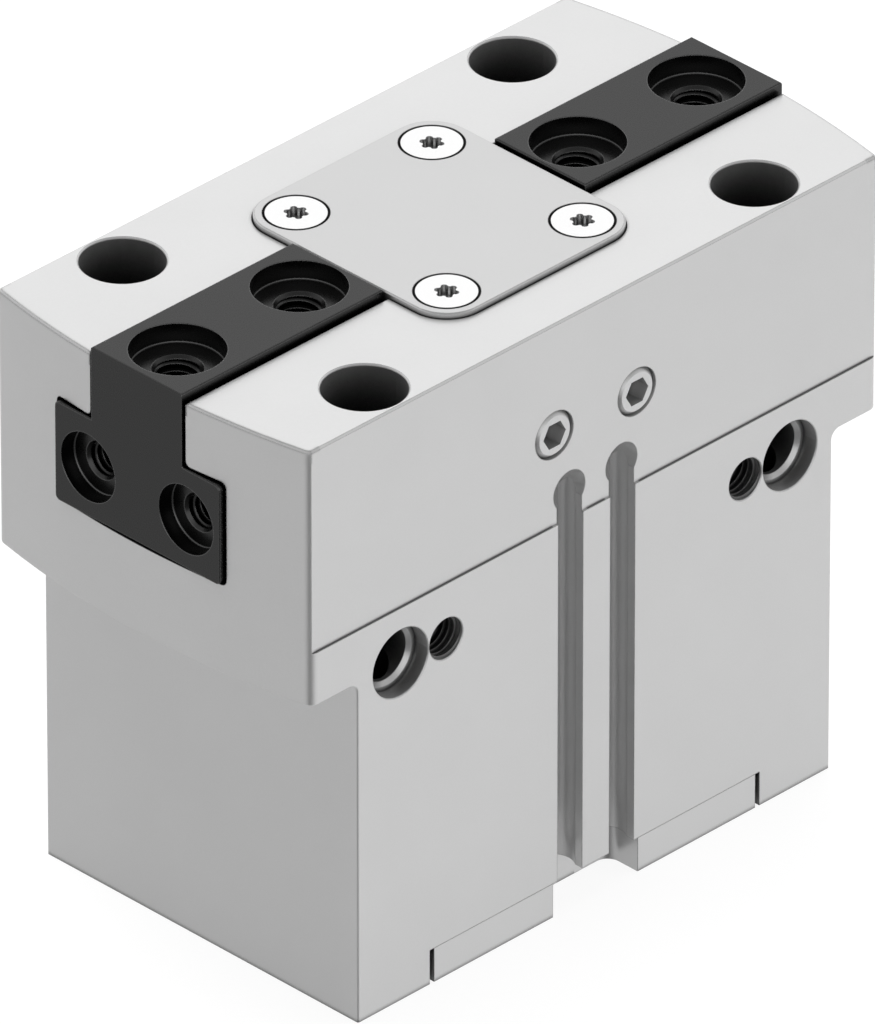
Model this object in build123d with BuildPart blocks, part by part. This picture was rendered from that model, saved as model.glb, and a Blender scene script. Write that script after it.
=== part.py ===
from build123d import *
import os

# Parallel gripper in millimetres: the jaws travel along X, the air ports face -Y, Z is up from the base

# Housing: a wide head with curved ends on a narrower body
head_length = 72.8
end_bulge = 2.1
depth = 40.4
height = 63.3
head_bottom = 36.4
body_length = 61.2
corner_round = 1.0
underside_round = 1.0
body_edge_round = 0.2
seam_height = 42.0
relief = 0.2
top_edge_chamfer = 0.19

# T-slot and the base jaws that slide in it
lip_height = 6.8
flange_height = 10.5
flange_width = 21.2
neck_width = 11.6
flange_round = 0.6
lip_round = 0.6
slide_gap = 0.05
guide_gap = 0.2
flange_side_gap = 0.25
neck_side_gap = 0.3
jaw_proud = 0.85
jaw_end = 38.5
jaw_edge_chamfer = 0.1
jaw_to_cover_gap = 0.3
jaw_stroke = 6.0

# Jaw top holes: centring bore over a threaded hole
jaw_hole_inset = 4.9
jaw_hole_pitch = 15.4
jaw_bore_radius = 4.5
jaw_bore_depth = 2.0
jaw_thread_radius = 2.1
jaw_thread_depth = 9.0

# Jaw end holes
end_hole_pitch = 12.6
end_hole_rise = 5.2
end_bore_radius = 3.5
end_bore_depth = 1.7
end_thread_radius = 1.65
end_thread_depth = 8.0
thread_chamfer = 0.3

# Cover plate over the wedge chamber
cover_length = 25.3
cover_width = 27.2
cover_thickness = 1.8
cover_proud = 0.55
cover_rim = 3.95
cover_gap = 0.1
cover_edge_chamfer = 0.15
cover_thread_depth = 5.0

# Countersunk screws of the cover and the end cap
screw_radius = 1.5
screw_head_radius = 2.87
screw_head_ring = 0.25
screw_rim = 0.3
cover_screw_length = 6.0
cap_screw_length = 10.0
screw_fit = 0.05
tap_runout = 1.5
lobe_circle = 0.83
lobe_radius = 0.33
lobe_core_radius = 0.86
drive_depth = 1.0

# Vertical mounting holes, counterbored from the top and threaded from the base
mount_pitch_x = 50.0
mount_pitch_y = 31.0
counterbore_radius = 4.0
counterbore_depth = 15.0
mount_hole_radius = 2.15
mouth_chamfer = 0.15

# Side mounting bores and air ports on the front
side_height = 36.2
side_pitch = 50.2
side_bore_radius = 3.5
side_bore_depth = 1.7
side_hole_radius = 2.7
side_hole_chamfer = 0.4
side_hole_depth = 12.0
bore_to_port = 0.2
port_radius = 2.1
port_depth = 6.5
front_mouth_chamfer = 0.08
passage_radius = 1.0
drill_overrun = 0.5

# Screwed plugs in the sealing air holes of the jaw guide
plug_pitch = 10.6
plug_rise = 5.6
plug_radius = 2.4
plug_length = 4.0
plug_inset = 0.15
plug_chamfer = 0.45
plug_socket = 2.5
plug_socket_depth = 2.0
plug_hole_depth = 4.6

# Sensor slots: round channels with a narrower mouth and a round loading hole on top
sensor_pitch = 6.7
sensor_mouth = 3.2
sensor_radius = 2.0
sensor_depth = 4.1
loading_height = 44.9
loading_radius = 2.03
loading_depth = 3.9

# Cylinder, end cap and its spigot
cap_length = 41.7
cap_side_gap = 0.55
cap_thickness = 3.65
notch_width = 11.0
notch_depth = 3.87
notch_round = 1.4
bore_length = 37.0
bore_width = 25.0
spigot_height = 3.5
spigot_gap = 0.05
cap_seal_width = 1.8
cap_seal_depth = 1.3
cap_screw_edge_x = 4.05
cap_screw_edge_y = 4.2
cushion_thickness = 1.0
cushion_inset = 0.6
upper_cushion_inset = 3.0
stop_gap = 0.1

# Piston and its seals
piston_thickness = 13.2
piston_gap = 0.2
seal_width = 2.2
seal_depth = 2.0
seal_margin = 1.2
seal_clearance = 0.03
band_width = 4.2
band_depth = 1.0
magnet_radius = 2.0
magnet_length = 2.5
rod_seat_depth = 3.0

# Rod, its bushing, its seal and the ring that holds the seal
rod_radius = 5.0
rod_fit = 0.03
bushing_wall = 1.0
gland_radius = 8.0
gland_depth = 3.9
rod_seal_length = 2.3
lip_wall = 0.9
washer_thickness = 0.5
ring_thickness = 0.8
ring_groove_depth = 0.5
ring_section = 1.5
ring_mouth = 4.0
washer_gap = 0.3
piston_screw_radius = 2.5
piston_screw_head_radius = 4.25
piston_screw_head_height = 4.8
piston_screw_thread = 9.0
piston_screw_socket = 4.0
piston_screw_recess = 0.3

# Wedge hook: inclined T rails that turn the piston's lift into jaw travel
wedge_ratio = 0.75
hook_bottom_gap = 0.3
hook_top_gap = 0.25
hook_pocket_depth = 4.3
hook_tip = 7.0
hook_width = 10.0
rail_neck_width = 4.4
rail_head_width = 8.0
rail_neck_depth = 1.6
rail_head_depth = 2.0
hook_gap = 0.06
jaw_meeting_gap = 0.25

# Pressed balls that close the drilled air passage
ball_radius = 1.5
ball_seat_depth = 3.4
cross_wall = 1.5
cross_radius = 0.9

# Heights and lengths that follow from the sizes above
piston_stroke = jaw_stroke / wedge_ratio
front = -depth / 2
head_end = head_length / 2 + end_bulge
jaw_top = height + jaw_proud
slot_ceiling = height - lip_height
slot_floor = slot_ceiling - flange_height
cover_seat = height + cover_proud - cover_thickness
jaw_neck_end = cover_length / 2 + jaw_to_cover_gap
jaw_roof = cover_seat - slide_gap
hook_top = cover_seat - hook_top_gap - piston_stroke
pocket_floor = slot_floor - hook_pocket_depth
hook_bottom = pocket_floor + hook_bottom_gap
spigot_top = cap_thickness + spigot_height
piston_bottom = spigot_top + cushion_thickness + stop_gap
piston_top = piston_bottom + piston_thickness
bore_top = piston_top + piston_stroke + stop_gap + cushion_thickness
piston_middle = (piston_bottom + piston_top) / 2
rod_end = piston_top - rod_seat_depth
screw_passage = piston_screw_radius + screw_fit
screw_head_bottom = piston_bottom + piston_screw_recess
screw_head_top = screw_head_bottom + piston_screw_head_height
gland_top = bore_top + gland_depth
screw_cone_height = screw_head_radius - screw_radius
screw_head_height = screw_rim + screw_cone_height
ring_bottom = gland_top - rod_seal_length - washer_thickness - ring_thickness
cap_screw_x = cap_length / 2 - cap_screw_edge_x
cap_screw_y = depth / 2 - cap_screw_edge_y
cover_screw_x = cover_length / 2 - cover_rim
cover_screw_y = cover_width / 2 - cover_rim
rail_depth = rail_neck_depth + rail_head_depth
end_hole_height = slot_floor + end_hole_rise
end_hole_depth = end_bore_depth + end_thread_depth
plug_height = slot_floor + plug_rise
sensor_axis = front + sensor_depth - sensor_radius
spigot_length = bore_length - 2 * spigot_gap
spigot_width = bore_width - 2 * spigot_gap
cap_core_length = spigot_length - 2 * cap_seal_depth
cap_core_width = spigot_width - 2 * cap_seal_depth
cap_seal_bottom = cap_thickness + (spigot_height - cap_seal_width) / 2
piston_length = bore_length - 2 * piston_gap
piston_width = bore_width - 2 * piston_gap
seal_core_length = piston_length - 2 * seal_depth
seal_core_width = piston_width - 2 * seal_depth
band_core_length = piston_length - 2 * band_depth
band_core_width = piston_width - 2 * band_depth
port_pitch = side_pitch - 2 * (side_bore_radius + bore_to_port + port_radius)
upper_passage_x = port_pitch / 2 - (port_radius - passage_radius) / 2
roof_passage_x = bore_length / 2 - passage_radius - piston_gap
cross_y = front + port_depth + cross_wall + passage_radius
cross_reach = cross_y + passage_radius + drill_overrun
cross_height = spigot_top + cross_radius
jaw_hole_inner = jaw_neck_end + jaw_hole_inset
jaw_hole_outer = jaw_hole_inner + jaw_hole_pitch


def hook_face(z):
    """Half width of the wedge at height z, with the piston at rest."""
    return hook_tip / 2 + wedge_ratio * (hook_top - z)


def inclined_band(low, high, start, stop):
    """Corners of the band that runs along the wedge face between two heights."""
    return [
        (hook_face(low) + start, low),
        (hook_face(low) + stop, low),
        (hook_face(high) + stop, high),
        (hook_face(high) + start, high),
    ]


def countersunk_screw(length):
    """One countersunk screw with its head's top at the origin and its point downwards."""
    with BuildPart() as screw:
        with BuildSketch(Plane.XZ):
            with BuildLine():
                Polyline(
                    (0, 0),
                    (screw_head_radius, 0),
                    (screw_head_radius, -screw_rim),
                    (screw_radius, -screw_head_height),
                    (screw_radius, -length),
                    (0, -length),
                    close=True,
                )
            make_face()
        revolve(axis=Axis.Z)
        with BuildSketch():
            Circle(lobe_core_radius)
            with PolarLocations(lobe_circle, 6):
                Circle(lobe_radius)
        extrude(amount=-drive_depth, mode=Mode.SUBTRACT)
    return screw.part


def countersunk_seat(through):
    """The space that a countersunk screw takes from the plate it holds, a little larger all round."""
    mouth = screw_head_radius + screw_head_ring
    shank = screw_radius + screw_head_ring
    with BuildPart() as seat:
        with BuildSketch(Plane.XZ):
            with BuildLine():
                Polyline(
                    (0, 0),
                    (mouth, 0),
                    (mouth, -screw_rim),
                    (shank, -screw_head_height),
                    (shank, -through),
                    (0, -through),
                    close=True,
                )
            make_face()
        revolve(axis=Axis.Z)
    return seat.part


def oval_ring(length, width, inner_length, inner_width):
    """Flat oval ring, drawn in the sketch that calls it."""
    SlotOverall(length, width)
    SlotOverall(inner_length, inner_width, mode=Mode.SUBTRACT)


match = 0.01


def circles_at(builder, axis, place, radius):
    """Round edges of one radius that lie at one place along an axis."""
    rings = builder.edges().filter_by(GeomType.CIRCLE)
    rings = rings.filter_by_position(axis, place - match, place + match)
    return rings.filter_by(lambda ring: abs(ring.radius - radius) < match)


cover_screw_seat = countersunk_seat(cover_thickness)
cap_screw_seat = countersunk_seat(cap_thickness)
front_plane = Plane((0, front, 0), x_dir=(1, 0, 0), z_dir=(0, -1, 0))

# Housing, milled from one block
with BuildPart() as housing:
    with BuildSketch(Plane.XZ) as front_outline:
        with Locations((0, head_bottom / 2)):
            Rectangle(body_length, head_bottom)
        with Locations((0, (head_bottom + height) / 2)):
            Rectangle(2 * head_end, height - head_bottom)
        body_corners = front_outline.vertices().filter_by_position(Axis.X, -body_length / 2, body_length / 2)
        fillet(body_corners.sort_by(Axis.Y)[-2:], underside_round)
    extrude(amount=depth / 2, both=True)
    with BuildSketch() as head_outline:
        with BuildLine():
            front_edge = Line((-head_length / 2, front), (head_length / 2, front))
            right_end = ThreePointArc(front_edge @ 1, (head_end, 0), (head_length / 2, -front))
            back_edge = Line(right_end @ 1, (-head_length / 2, -front))
            ThreePointArc(back_edge @ 1, (-head_end, 0), front_edge @ 0)
        make_face()
        fillet(head_outline.vertices(), corner_round)
    extrude(amount=height, mode=Mode.INTERSECT)
    upright_edges = housing.edges().filter_by(Axis.Z)
    fillet(upright_edges.filter_by_position(Axis.X, -body_length / 2, body_length / 2), body_edge_round)
    # The front and back are milled back a little above the seam
    with BuildSketch(Plane.XY.offset(seam_height)):
        with Locations((0, front), (0, -front)):
            Rectangle(2 * head_end, 2 * relief)
    extrude(amount=height - seam_height, mode=Mode.SUBTRACT)
    # T-slot for the jaws
    with BuildSketch(Plane.YZ) as slot_section:
        with Locations((0, slot_floor + flange_height / 2)):
            Rectangle(flange_width + 2 * flange_side_gap, flange_height + 2 * guide_gap)
        fillet(slot_section.vertices(), flange_round)
        with Locations((0, (slot_ceiling + height) / 2)):
            Rectangle(neck_width + 2 * neck_side_gap, height - slot_ceiling)
        lip_corners = slot_section.vertices().filter_by_position(Axis.X, -neck_width, neck_width)
        fillet(lip_corners.filter_by_position(Axis.Y, slot_ceiling, height - match), lip_round)
    extrude(amount=2 * head_end, both=True, mode=Mode.SUBTRACT)
    top_faces = housing.faces().sort_by(Axis.Z)[-2:]
    chamfer([edge for face in top_faces for edge in face.outer_wire().edges()], top_edge_chamfer)
    # Seat of the cover plate and the threads of its screws
    with BuildSketch(Plane.XY.offset(cover_seat)):
        RectangleRounded(cover_length + 2 * cover_gap, cover_width + 2 * cover_gap, cover_rim + cover_gap)
    extrude(amount=height, mode=Mode.SUBTRACT)
    with BuildSketch(Plane.XY.offset(cover_seat)):
        with GridLocations(2 * cover_screw_x, 2 * cover_screw_y, 2, 2):
            Circle(screw_radius + screw_fit)
    extrude(amount=-cover_thread_depth, mode=Mode.SUBTRACT)
    # Pocket for the foot of the wedge, rod guide and seal seat
    with BuildSketch(Plane.XY.offset(pocket_floor)):
        wedge_foot = hook_face(hook_bottom) + rail_neck_depth + rail_head_depth
        Rectangle(2 * (wedge_foot + hook_bottom_gap), hook_width + 2 * hook_bottom_gap)
    extrude(amount=hook_pocket_depth + flange_height, mode=Mode.SUBTRACT)
    with BuildSketch(Plane.XY.offset(bore_top)):
        Circle(rod_radius + rod_fit + bushing_wall)
    extrude(amount=pocket_floor - bore_top, mode=Mode.SUBTRACT)
    with BuildSketch(Plane.XY.offset(bore_top)):
        Circle(gland_radius)
    extrude(amount=gland_depth, mode=Mode.SUBTRACT)
    with BuildSketch(Plane.XY.offset(ring_bottom)):
        Circle(gland_radius + ring_groove_depth)
    extrude(amount=ring_thickness, mode=Mode.SUBTRACT)
    # Oval cylinder and the channel of the end cap
    with BuildSketch():
        SlotOverall(bore_length, bore_width)
    extrude(amount=bore_top, mode=Mode.SUBTRACT)
    with BuildSketch():
        Rectangle(cap_length + 2 * cap_side_gap, 2 * depth)
    extrude(amount=cap_thickness, mode=Mode.SUBTRACT)
    with BuildSketch(Plane.XY.offset(cap_thickness)):
        with GridLocations(2 * cap_screw_x, 2 * cap_screw_y, 2, 2):
            Circle(screw_radius + screw_fit)
    extrude(amount=cap_screw_length - cap_thickness + tap_runout, mode=Mode.SUBTRACT)
    # Vertical mounting holes
    with Locations(Plane.XY.offset(height)):
        with GridLocations(mount_pitch_x, mount_pitch_y, 2, 2):
            CounterBoreHole(mount_hole_radius, counterbore_radius, counterbore_depth, height)
    # Sensor slots, open at the bottom, with round loading holes on top
    with BuildSketch():
        with Locations((-sensor_pitch / 2, sensor_axis), (sensor_pitch / 2, sensor_axis)):
            Circle(sensor_radius)
            Rectangle(sensor_mouth, 2 * (sensor_axis - front))
    extrude(amount=loading_height, mode=Mode.SUBTRACT)
    with BuildSketch(front_plane):
        with Locations((-sensor_pitch / 2, loading_height), (sensor_pitch / 2, loading_height)):
            Circle(loading_radius)
    extrude(amount=-loading_depth, mode=Mode.SUBTRACT)
    # Side mounting bores, air ports and sealing air holes
    with Locations(front_plane):
        with Locations((-side_pitch / 2, side_height), (side_pitch / 2, side_height)):
            CounterBoreHole(side_hole_radius, side_bore_radius, side_bore_depth, side_hole_depth)
        with Locations((-port_pitch / 2, side_height)):
            Hole(port_radius, port_depth)
        with Locations((port_pitch / 2, side_height)):
            CounterBoreHole(passage_radius, port_radius, port_depth, cross_reach - front)
        with Locations((-plug_pitch / 2, plug_height), (plug_pitch / 2, plug_height)):
            CounterBoreHole(passage_radius, plug_radius + screw_fit, plug_hole_depth, -front - neck_width / 2)
    # Left port to the top of the cylinder: along Y, then down into the cylinder's roof
    with BuildSketch(front_plane.offset(-port_depth)):
        with Locations((-upper_passage_x, side_height)):
            Circle(passage_radius)
    extrude(amount=front + port_depth, mode=Mode.SUBTRACT)
    with BuildSketch(Plane.XY.offset(bore_top)):
        with Locations((-roof_passage_x, -passage_radius)):
            Circle(passage_radius)
    extrude(amount=side_height + passage_radius - bore_top, mode=Mode.SUBTRACT)
    # Right port to the foot of the cylinder: down beside it, then across, each drilling closed by a ball
    with BuildSketch(Plane.XY.offset(cap_thickness)):
        with Locations((port_pitch / 2, cross_y)):
            Circle(passage_radius)
    extrude(amount=side_height + drill_overrun - cap_thickness, mode=Mode.SUBTRACT)
    with BuildSketch(Plane.XY.offset(cap_thickness)):
        with Locations((port_pitch / 2, cross_y)):
            Circle(ball_radius)
    extrude(amount=ball_seat_depth, mode=Mode.SUBTRACT)
    with BuildSketch(Plane.YZ.offset(body_length / 2)):
        with Locations((cross_y, cross_height)):
            Circle(cross_radius)
    extrude(amount=(bore_length - bore_width) / 2 - body_length / 2, mode=Mode.SUBTRACT)
    with BuildSketch(Plane.YZ.offset(body_length / 2)):
        with Locations((cross_y, cross_height)):
            Circle(ball_radius)
    extrude(amount=-ball_seat_depth, mode=Mode.SUBTRACT)
    # Small chamfers at the mouths of the holes
    top_mouths = circles_at(housing, Axis.Z, height, counterbore_radius)
    chamfer(top_mouths, mouth_chamfer)
    for mouth_radius in (side_bore_radius, port_radius):
        chamfer(circles_at(housing, Axis.Y, front, mouth_radius), front_mouth_chamfer)
    chamfer(circles_at(housing, Axis.Y, front + side_bore_depth, side_hole_radius), side_hole_chamfer)
housing.part.label = "housing"

# End cap: plate in the channel, with an oval spigot that carries the static seal
with BuildPart() as end_cap:
    with BuildSketch():
        Rectangle(cap_length, depth)
        with Locations((0, front)):
            RectangleRounded(notch_width, 2 * notch_depth, notch_round, mode=Mode.SUBTRACT)
    extrude(amount=cap_thickness)
    with BuildSketch(Plane.XY.offset(cap_thickness)):
        SlotOverall(spigot_length, spigot_width)
    extrude(amount=spigot_height)
    with BuildSketch(Plane.XY.offset(cap_seal_bottom)):
        oval_ring(spigot_length, spigot_width, cap_core_length, cap_core_width)
    extrude(amount=cap_seal_width, mode=Mode.SUBTRACT)
    with GridLocations(2 * cap_screw_x, 2 * cap_screw_y, 2, 2):
        with Locations(Location((0, 0, 0), (180, 0, 0))):
            add(cap_screw_seat, mode=Mode.SUBTRACT)
end_cap.part.label = "end_cap"

with BuildPart() as end_cap_seal:
    with BuildSketch(Plane.XY.offset(cap_seal_bottom)):
        oval_ring(
            bore_length - 2 * seal_clearance,
            bore_width - 2 * seal_clearance,
            cap_core_length,
            cap_core_width,
        )
    extrude(amount=cap_seal_width)
end_cap_seal.part.label = "end_cap_seal"

cap_screw = countersunk_screw(cap_screw_length)
with BuildPart() as end_cap_screws:
    with GridLocations(2 * cap_screw_x, 2 * cap_screw_y, 2, 2):
        with Locations(Location((0, 0, 0), (180, 0, 0))):
            add(cap_screw)
end_cap_screws.part.label = "end_cap_screws"

# Cover plate over the wedge
with BuildPart() as cover_plate:
    with BuildSketch(Plane.XY.offset(cover_seat)):
        RectangleRounded(cover_length, cover_width, cover_rim)
    extrude(amount=cover_thickness)
    chamfer(cover_plate.faces().sort_by(Axis.Z)[-1].outer_wire().edges(), cover_edge_chamfer)
    with Locations(Plane.XY.offset(height + cover_proud)):
        with GridLocations(2 * cover_screw_x, 2 * cover_screw_y, 2, 2):
            add(cover_screw_seat, mode=Mode.SUBTRACT)
cover_plate.part.label = "cover_plate"

cover_screw = countersunk_screw(cover_screw_length)
with BuildPart() as cover_screws:
    with Locations(Plane.XY.offset(height + cover_proud)):
        with GridLocations(2 * cover_screw_x, 2 * cover_screw_y, 2, 2):
            add(cover_screw)
cover_screws.part.label = "cover_screws"

# Socket plugs in the sealing air holes
with BuildPart() as port_plugs:
    with BuildSketch(front_plane.offset(-plug_inset)):
        with Locations((-plug_pitch / 2, plug_height), (plug_pitch / 2, plug_height)):
            Circle(plug_radius)
    extrude(amount=-plug_length)
    chamfer(circles_at(port_plugs, Axis.Y, front + plug_inset, plug_radius), plug_chamfer)
    with BuildSketch(front_plane.offset(-plug_inset)):
        with Locations((-plug_pitch / 2, plug_height), (plug_pitch / 2, plug_height)):
            RegularPolygon(plug_socket / 2, 6, major_radius=False)
    extrude(amount=-plug_socket_depth, mode=Mode.SUBTRACT)
port_plugs.part.label = "port_plugs"

# Balls pressed into the ends of the drilled passage
with BuildPart() as passage_balls:
    with Locations((port_pitch / 2, cross_y, cap_thickness + ball_seat_depth - ball_radius)):
        Sphere(ball_radius - screw_fit)
    with Locations((body_length / 2 - ball_seat_depth + ball_radius, cross_y, cross_height)):
        Sphere(ball_radius - screw_fit)
passage_balls.part.label = "passage_balls"

# Rod guide and rod seal in the wall between the cylinder and the wedge chamber
with BuildPart() as rod_bushing:
    with BuildSketch(Plane.XY.offset(gland_top)):
        Circle(rod_radius + rod_fit + bushing_wall)
        Circle(rod_radius + rod_fit, mode=Mode.SUBTRACT)
    extrude(amount=pocket_floor - gland_top)
rod_bushing.part.label = "rod_bushing"

with BuildPart() as rod_seal:
    with BuildSketch(Plane.XY.offset(gland_top - rod_seal_length)):
        Circle(gland_radius - seal_clearance)
        Circle(rod_radius + rod_fit, mode=Mode.SUBTRACT)
    extrude(amount=rod_seal_length)
    # The lips spread apart round a groove that faces the pressure
    with BuildSketch(Plane.XY.offset(gland_top - rod_seal_length)):
        Circle(gland_radius - seal_clearance - lip_wall)
        Circle(rod_radius + rod_fit + lip_wall, mode=Mode.SUBTRACT)
    extrude(amount=rod_seal_length / 2, mode=Mode.SUBTRACT)
rod_seal.part.label = "rod_seal"

with BuildPart() as seal_washer:
    with BuildSketch(Plane.XY.offset(ring_bottom + ring_thickness)):
        Circle(gland_radius - seal_clearance)
        Circle(rod_radius + washer_gap, mode=Mode.SUBTRACT)
    extrude(amount=washer_thickness)
seal_washer.part.label = "seal_washer"

with BuildPart() as retaining_ring:
    with BuildSketch(Plane.XY.offset(ring_bottom)):
        Circle(gland_radius + ring_groove_depth)
        Circle(gland_radius + ring_groove_depth - ring_section, mode=Mode.SUBTRACT)
        with Locations((0, -gland_radius)):
            Rectangle(ring_mouth, 2 * ring_section, mode=Mode.SUBTRACT)
    extrude(amount=ring_thickness)
retaining_ring.part.label = "retaining_ring"

# Rubber pads that stop the piston at both ends
with BuildPart() as lower_cushion:
    with BuildSketch(Plane.XY.offset(spigot_top)):
        SlotOverall(bore_length - 2 * cushion_inset, bore_width - 2 * cushion_inset)
        Circle(piston_screw_head_radius + cushion_inset, mode=Mode.SUBTRACT)
    extrude(amount=cushion_thickness)
lower_cushion.part.label = "lower_cushion"

with BuildPart() as upper_cushion:
    with BuildSketch(Plane.XY.offset(bore_top - cushion_thickness)):
        SlotOverall(bore_length - 2 * upper_cushion_inset, bore_width - 2 * cushion_inset)
        Circle(gland_radius + ring_groove_depth, mode=Mode.SUBTRACT)
    extrude(amount=cushion_thickness)
upper_cushion.part.label = "upper_cushion"

# Oval piston with two lip seals, a guide band and magnets behind the band
with BuildPart() as piston:
    with BuildSketch(Plane.XY.offset(piston_bottom)):
        SlotOverall(piston_length, piston_width)
    extrude(amount=piston_thickness)
    for groove_bottom in (piston_bottom + seal_margin, piston_top - seal_margin - seal_width):
        with BuildSketch(Plane.XY.offset(groove_bottom)):
            oval_ring(piston_length, piston_width, seal_core_length, seal_core_width)
        extrude(amount=seal_width, mode=Mode.SUBTRACT)
    with BuildSketch(Plane.XY.offset(piston_middle - band_width / 2)):
        oval_ring(piston_length, piston_width, band_core_length, band_core_width)
    extrude(amount=band_width, mode=Mode.SUBTRACT)
    with BuildSketch(Plane((0, -band_core_width / 2, piston_middle), x_dir=(1, 0, 0), z_dir=(0, -1, 0))):
        with Locations((-sensor_pitch / 2, 0), (sensor_pitch / 2, 0)):
            Circle(magnet_radius + screw_fit)
    extrude(amount=-magnet_length, mode=Mode.SUBTRACT)
    with Locations((0, 0, piston_top)):
        CounterBoreHole(screw_passage, rod_radius + screw_fit, rod_seat_depth, piston_thickness)
    with BuildSketch(Plane.XY.offset(piston_bottom)):
        Circle(piston_screw_head_radius + screw_head_ring)
    extrude(amount=piston_screw_recess + piston_screw_head_height, mode=Mode.SUBTRACT)
piston.part.label = "piston"

with BuildPart() as piston_seals:
    for groove_bottom in (piston_bottom + seal_margin, piston_top - seal_margin - seal_width):
        with BuildSketch(Plane.XY.offset(groove_bottom)):
            oval_ring(
                bore_length - 2 * seal_clearance,
                bore_width - 2 * seal_clearance,
                seal_core_length,
                seal_core_width,
            )
        extrude(amount=seal_width)
piston_seals.part.label = "piston_seals"

with BuildPart() as piston_guide_band:
    with BuildSketch(Plane.XY.offset(piston_middle - band_width / 2)):
        oval_ring(bore_length - 2 * slide_gap, bore_width - 2 * slide_gap, band_core_length, band_core_width)
    extrude(amount=band_width)
piston_guide_band.part.label = "piston_guide_band"

with BuildPart() as piston_magnets:
    with BuildSketch(Plane((0, -band_core_width / 2, piston_middle), x_dir=(1, 0, 0), z_dir=(0, -1, 0))):
        with Locations((-sensor_pitch / 2, 0), (sensor_pitch / 2, 0)):
            Circle(magnet_radius)
    extrude(amount=-magnet_length)
piston_magnets.part.label = "piston_magnets"

with BuildPart() as piston_screw:
    with BuildSketch(Plane.XY.offset(screw_head_bottom)):
        Circle(piston_screw_head_radius)
    extrude(amount=piston_screw_head_height)
    with BuildSketch(Plane.XY.offset(screw_head_top)):
        Circle(piston_screw_radius)
    extrude(amount=rod_end + piston_screw_thread - screw_head_top)
    with BuildSketch(Plane.XY.offset(screw_head_bottom)):
        RegularPolygon(piston_screw_socket / 2, 6, major_radius=False)
    extrude(amount=piston_screw_head_height / 2, mode=Mode.SUBTRACT)
piston_screw.part.label = "piston_screw"

# Wedge hook and rod in one piece: the sloping T rails draw both jaws as the piston lifts
with BuildPart() as wedge_hook:
    with BuildSketch(Plane.XZ):
        Polygon(
            (-hook_face(hook_bottom), hook_bottom),
            (hook_face(hook_bottom), hook_bottom),
            (hook_face(hook_top), hook_top),
            (-hook_face(hook_top), hook_top),
            align=None,
        )
    extrude(amount=hook_width / 2, both=True)
    with BuildSketch(Plane.XZ):
        Polygon(*inclined_band(hook_bottom, hook_top, -rail_neck_depth, rail_neck_depth), align=None)
        mirror(about=Plane.YZ)
    extrude(amount=rail_neck_width / 2, both=True)
    with BuildSketch(Plane.XZ):
        Polygon(*inclined_band(hook_bottom, hook_top, rail_neck_depth, rail_depth), align=None)
        mirror(about=Plane.YZ)
    extrude(amount=rail_head_width / 2, both=True)
    with BuildSketch(Plane.XY.offset(rod_end)):
        Circle(rod_radius)
    extrude(amount=hook_bottom - rod_end)
    with BuildSketch(Plane.XY.offset(rod_end)):
        Circle(screw_passage)
    extrude(amount=piston_screw_thread + tap_runout, mode=Mode.SUBTRACT)
wedge_hook.part.label = "wedge_hook"

# Base jaw with a T section: its inner end is cut to the slope of the wedge and slotted for the rail
jaw_end_plane = Plane((jaw_end, 0, 0), x_dir=(0, 1, 0), z_dir=(1, 0, 0))
with BuildPart() as jaw:
    with BuildSketch(Plane.YZ.offset(jaw_meeting_gap)) as flange:
        with Locations((0, slot_floor + flange_height / 2)):
            Rectangle(flange_width, flange_height)
        fillet(flange.vertices(), flange_round)
    extrude(amount=jaw_end - jaw_meeting_gap)
    with BuildSketch(Plane.YZ.offset(jaw_meeting_gap)):
        with Locations((0, (slot_ceiling + jaw_roof) / 2 - flange_round / 2)):
            Rectangle(neck_width, jaw_roof - slot_ceiling + flange_round)
    extrude(amount=jaw_end - jaw_meeting_gap)
    with BuildSketch(Plane.YZ.offset(jaw_neck_end)):
        with Locations((0, (slot_ceiling + jaw_top) / 2)):
            Rectangle(neck_width, jaw_top - slot_ceiling)
    extrude(amount=jaw_end - jaw_neck_end)
    chamfer(jaw.faces().sort_by(Axis.Z)[-1].outer_wire().edges(), jaw_edge_chamfer)
    chamfer(jaw.faces().sort_by(Axis.X)[-1].outer_wire().edges().filter_by(Axis.Y), jaw_edge_chamfer)
    # Slope of the inner end, with the T slot of the wedge rail
    with BuildSketch(Plane.XZ):
        Polygon(*inclined_band(pocket_floor, jaw_top, -flange_width, hook_gap), align=None)
    extrude(amount=flange_width, both=True, mode=Mode.SUBTRACT)
    with BuildSketch(Plane.XZ):
        Polygon(*inclined_band(pocket_floor, jaw_roof, 0, rail_depth), align=None)
    extrude(amount=rail_neck_width / 2 + hook_gap, both=True, mode=Mode.SUBTRACT)
    with BuildSketch(Plane.XZ):
        head_slot = inclined_band(pocket_floor, jaw_roof, rail_neck_depth - hook_gap, rail_depth + hook_gap)
        Polygon(*head_slot, align=None)
    extrude(amount=rail_head_width / 2 + hook_gap, both=True, mode=Mode.SUBTRACT)
    # Centred threaded holes on the top and in the end
    with Locations((jaw_hole_inner, 0, jaw_top), (jaw_hole_outer, 0, jaw_top)):
        CounterBoreHole(jaw_thread_radius, jaw_bore_radius, jaw_bore_depth, jaw_bore_depth + jaw_thread_depth)
    with Locations(jaw_end_plane):
        with Locations((-end_hole_pitch / 2, end_hole_height), (end_hole_pitch / 2, end_hole_height)):
            CounterBoreHole(end_thread_radius, end_bore_radius, end_bore_depth, end_hole_depth)
    chamfer(circles_at(jaw, Axis.Z, jaw_top - jaw_bore_depth, jaw_thread_radius), thread_chamfer)
    chamfer(circles_at(jaw, Axis.X, jaw_end - end_bore_depth, end_thread_radius), thread_chamfer)

with BuildPart() as jaw_right:
    add(jaw.part)
jaw_right.part.label = "jaw_right"

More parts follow.
